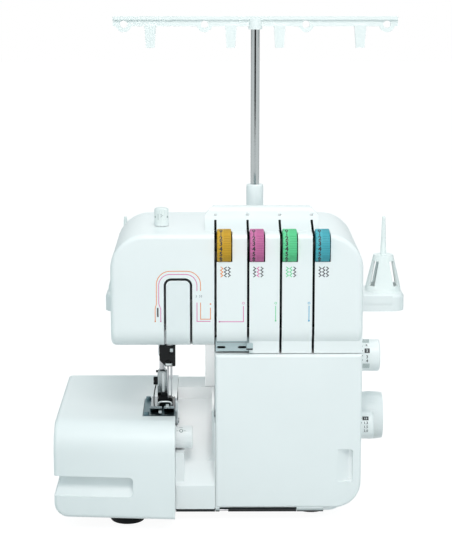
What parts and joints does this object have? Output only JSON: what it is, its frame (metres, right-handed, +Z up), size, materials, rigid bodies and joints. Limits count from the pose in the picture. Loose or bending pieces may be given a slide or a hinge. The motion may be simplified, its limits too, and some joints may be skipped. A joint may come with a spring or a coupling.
{
  "type": "serger overlock machine",
  "caption": "White domestic overlock machine with a front tension panel, coloured dials, slide-off table, drop-down front cover and a telescopic thread tree over a rear spool stand.",
  "frame": {"origin": "centre of the footprint of the whole machine, on the table it stands on", "axes": "+Z up, -Y towards the user who sits in front, +X to the right, towards the handwheel"},
  "size_m": [0.352, 0.24, 0.4805],
  "materials": {
    "white_plastic": "satin",
    "clear_plastic": "gloss",
    "black_plastic": "matte",
    "grey_plastic": "matte",
    "feet_rubber": "matte",
    "cast_frame": "cast",
    "steel": "brushed",
    "chrome": "polished",
    "bronze": "satin",
    "motor_paint": "satin",
    "yellow_plastic": "satin",
    "pink_plastic": "satin",
    "green_plastic": "satin",
    "blue_plastic": "satin"
  },
  "bodies": {
    "chassis": {"base_tray": "black_plastic", "rubber_feet": "feet_rubber", "main_frame": "cast_frame", "free_arm": "cast_frame", "needle_plate": "steel", "plate_screws": "steel", "lower_knife": "steel", "pivot_pins": "steel", "trim_chute": "white_plastic", "rear_bed": "white_plastic", "head_front_cover": "white_plastic", "thread_tongue": "white_plastic", "rear_cover": "white_plastic", "right_cover": "white_plastic", "power_inlet": "black_plastic", "switch_frame": "black_plastic", "top_thread_guide": "white_plastic", "lower_thread_guide": "steel", "tension_carrier": "black_plastic", "tension_studs": "steel", "tension_discs": "steel", "shaft_bushes": "bronze", "drive_belt": "feet_rubber", "motor": "motor_paint", "presser_spring": "steel", "thread_stand": "white_plastic", "guide_post": "white_plastic", "spool_pins": "clear_plastic", "cone_holders": "clear_plastic"},
    "table": {"extension_table": "white_plastic"},
    "cover_slider": {"cover_hinge_pin": "steel"},
    "cover": {"front_cover": "white_plastic"},
    "drive": {"main_shaft": "steel", "shaft_pulley": "black_plastic", "handwheel": "white_plastic"},
    "rotor": {"motor_pulley": "black_plastic"},
    "needle_carrier": {"needle_bar": "steel", "needle_clamp": "black_plastic", "clamp_screws": "black_plastic", "needles": "steel"},
    "presser": {"presser_bar": "steel", "presser_foot": "chrome", "foot_screw": "black_plastic"},
    "lifter": {"presser_lever": "chrome"},
    "dial_1": {"left_needle_dial": "yellow_plastic"},
    "dial_2": {"right_needle_dial": "pink_plastic"},
    "dial_3": {"upper_looper_dial": "green_plastic"},
    "dial_4": {"lower_looper_dial": "blue_plastic"},
    "length_control": {"stitch_length_dial": "white_plastic"},
    "feed_control": {"differential_dial": "white_plastic"},
    "width_control": {"stitch_width_knob": "white_plastic"},
    "pressure_control": {"pressure_knob": "white_plastic"},
    "switch": {"power_rocker": "black_plastic"},
    "mast": {"telescopic_rod": "chrome"},
    "tree": {"thread_guide_bar": "clear_plastic"},
    "feed": {"feed_dogs": "steel"},
    "looper_upper": {"upper_looper": "steel"},
    "looper_lower": {"lower_looper": "steel"},
    "knife": {"upper_knife": "steel"}
  },
  "joints": [
    {"name": "table_pull", "type": "slide", "parent": "chassis", "child": "table", "axis": [-1, 0, 0], "range_m": [0, 0.13]},
    {"name": "cover_shift", "type": "slide", "parent": "chassis", "child": "cover_slider", "axis": [1, 0, 0], "range_m": [0, 0.008]},
    {"name": "cover_swing", "type": "hinge", "parent": "cover_slider", "child": "cover", "pos_m": [0.049, -0.081, 0.0106], "axis": [1, 0, 0], "range_deg": [0, 85]},
    {"name": "wheel_turn", "type": "hinge", "parent": "chassis", "child": "drive", "pos_m": [0.1203, 0.008, 0.082], "axis": [1, 0, 0], "continuous": true},
    {"name": "motor_turn", "type": "hinge", "parent": "chassis", "child": "rotor", "pos_m": [0.0898, 0.014, 0.0395], "axis": [1, 0, 0], "continuous": true},
    {"name": "needle_stroke", "type": "slide", "parent": "chassis", "child": "needle_carrier", "axis": [0, 0, 1], "range_m": [-0.024, 0]},
    {"name": "presser_lift", "type": "slide", "parent": "chassis", "child": "presser", "axis": [0, 0, 1], "range_m": [0, 0.004], "deforming": ["presser_spring"]},
    {"name": "lever_lift", "type": "hinge", "parent": "chassis", "child": "lifter", "pos_m": [-0.0737, -0.017, 0.18], "axis": [1, 0, 0], "range_deg": [0, 16]},
    {"name": "tension_1", "type": "hinge", "parent": "chassis", "child": "dial_1", "pos_m": [-0.0195, -0.074, 0.2715], "axis": [1, 0, 0], "range_deg": [-130, 130]},
    {"name": "tension_2", "type": "hinge", "parent": "chassis", "child": "dial_2", "pos_m": [0.0117, -0.074, 0.2715], "axis": [1, 0, 0], "range_deg": [-130, 130]},
    {"name": "tension_3", "type": "hinge", "parent": "chassis", "child": "dial_3", "pos_m": [0.0429, -0.074, 0.2715], "axis": [1, 0, 0], "range_deg": [-130, 130]},
    {"name": "tension_4", "type": "hinge", "parent": "chassis", "child": "dial_4", "pos_m": [0.0741, -0.074, 0.2715], "axis": [1, 0, 0], "range_deg": [-130, 130]},
    {"name": "stitch_length", "type": "hinge", "parent": "chassis", "child": "length_control", "pos_m": [0.1203, -0.035, 0.155], "axis": [1, 0, 0], "range_deg": [-110, 110]},
    {"name": "differential_feed", "type": "hinge", "parent": "chassis", "child": "feed_control", "pos_m": [0.1203, -0.035, 0.0833], "axis": [1, 0, 0], "range_deg": [-90, 90]},
    {"name": "stitch_width", "type": "hinge", "parent": "chassis", "child": "width_control", "pos_m": [-0.0615, -0.065, 0.0802], "axis": [1, 0, 0], "range_deg": [-170, 170]},
    {"name": "presser_pressure", "type": "hinge", "parent": "chassis", "child": "pressure_control", "pos_m": [-0.0737, -0.028, 0.2835], "axis": [0, 0, 1], "range_deg": [-170, 170]},
    {"name": "power_switch", "type": "hinge", "parent": "chassis", "child": "switch", "pos_m": [0.1173, -0.014, 0.05], "axis": [0, 1, 0], "range_deg": [-6, 6]},
    {"name": "mast_slide", "type": "slide", "parent": "chassis", "child": "mast", "axis": [0, 0, 1], "range_m": [-0.13, 0]},
    {"name": "tree_swivel", "type": "hinge", "parent": "mast", "child": "tree", "pos_m": [0.0202, 0.0925, 0.4805], "axis": [0, 0, 1], "range_deg": [-90, 90]},
    {"name": "feed_stroke", "type": "slide", "parent": "chassis", "child": "feed", "axis": [0, 1, 0], "range_m": [-0.0015, 0.0015]},
    {"name": "upper_looper_swing", "type": "hinge", "parent": "chassis", "child": "looper_upper", "pos_m": [-0.0771, -0.0515, 0.067], "axis": [0, 1, 0], "range_deg": [-8, 8]},
    {"name": "lower_looper_swing", "type": "hinge", "parent": "chassis", "child": "looper_lower", "pos_m": [-0.1001, -0.057, 0.07], "axis": [0, 1, 0], "range_deg": [-6, 8]},
    {"name": "knife_swing", "type": "hinge", "parent": "chassis", "child": "knife", "pos_m": [-0.06, -0.04, 0.09], "axis": [1, 0, 0], "range_deg": [-3, 5]}
  ],
  "couplings": [
    {"joint": "motor_turn", "follows": "wheel_turn", "ratio": 2.8889},
    {"joint": "presser_lift", "follows": "lever_lift", "m_per_rad": 0.01425}
  ]
}
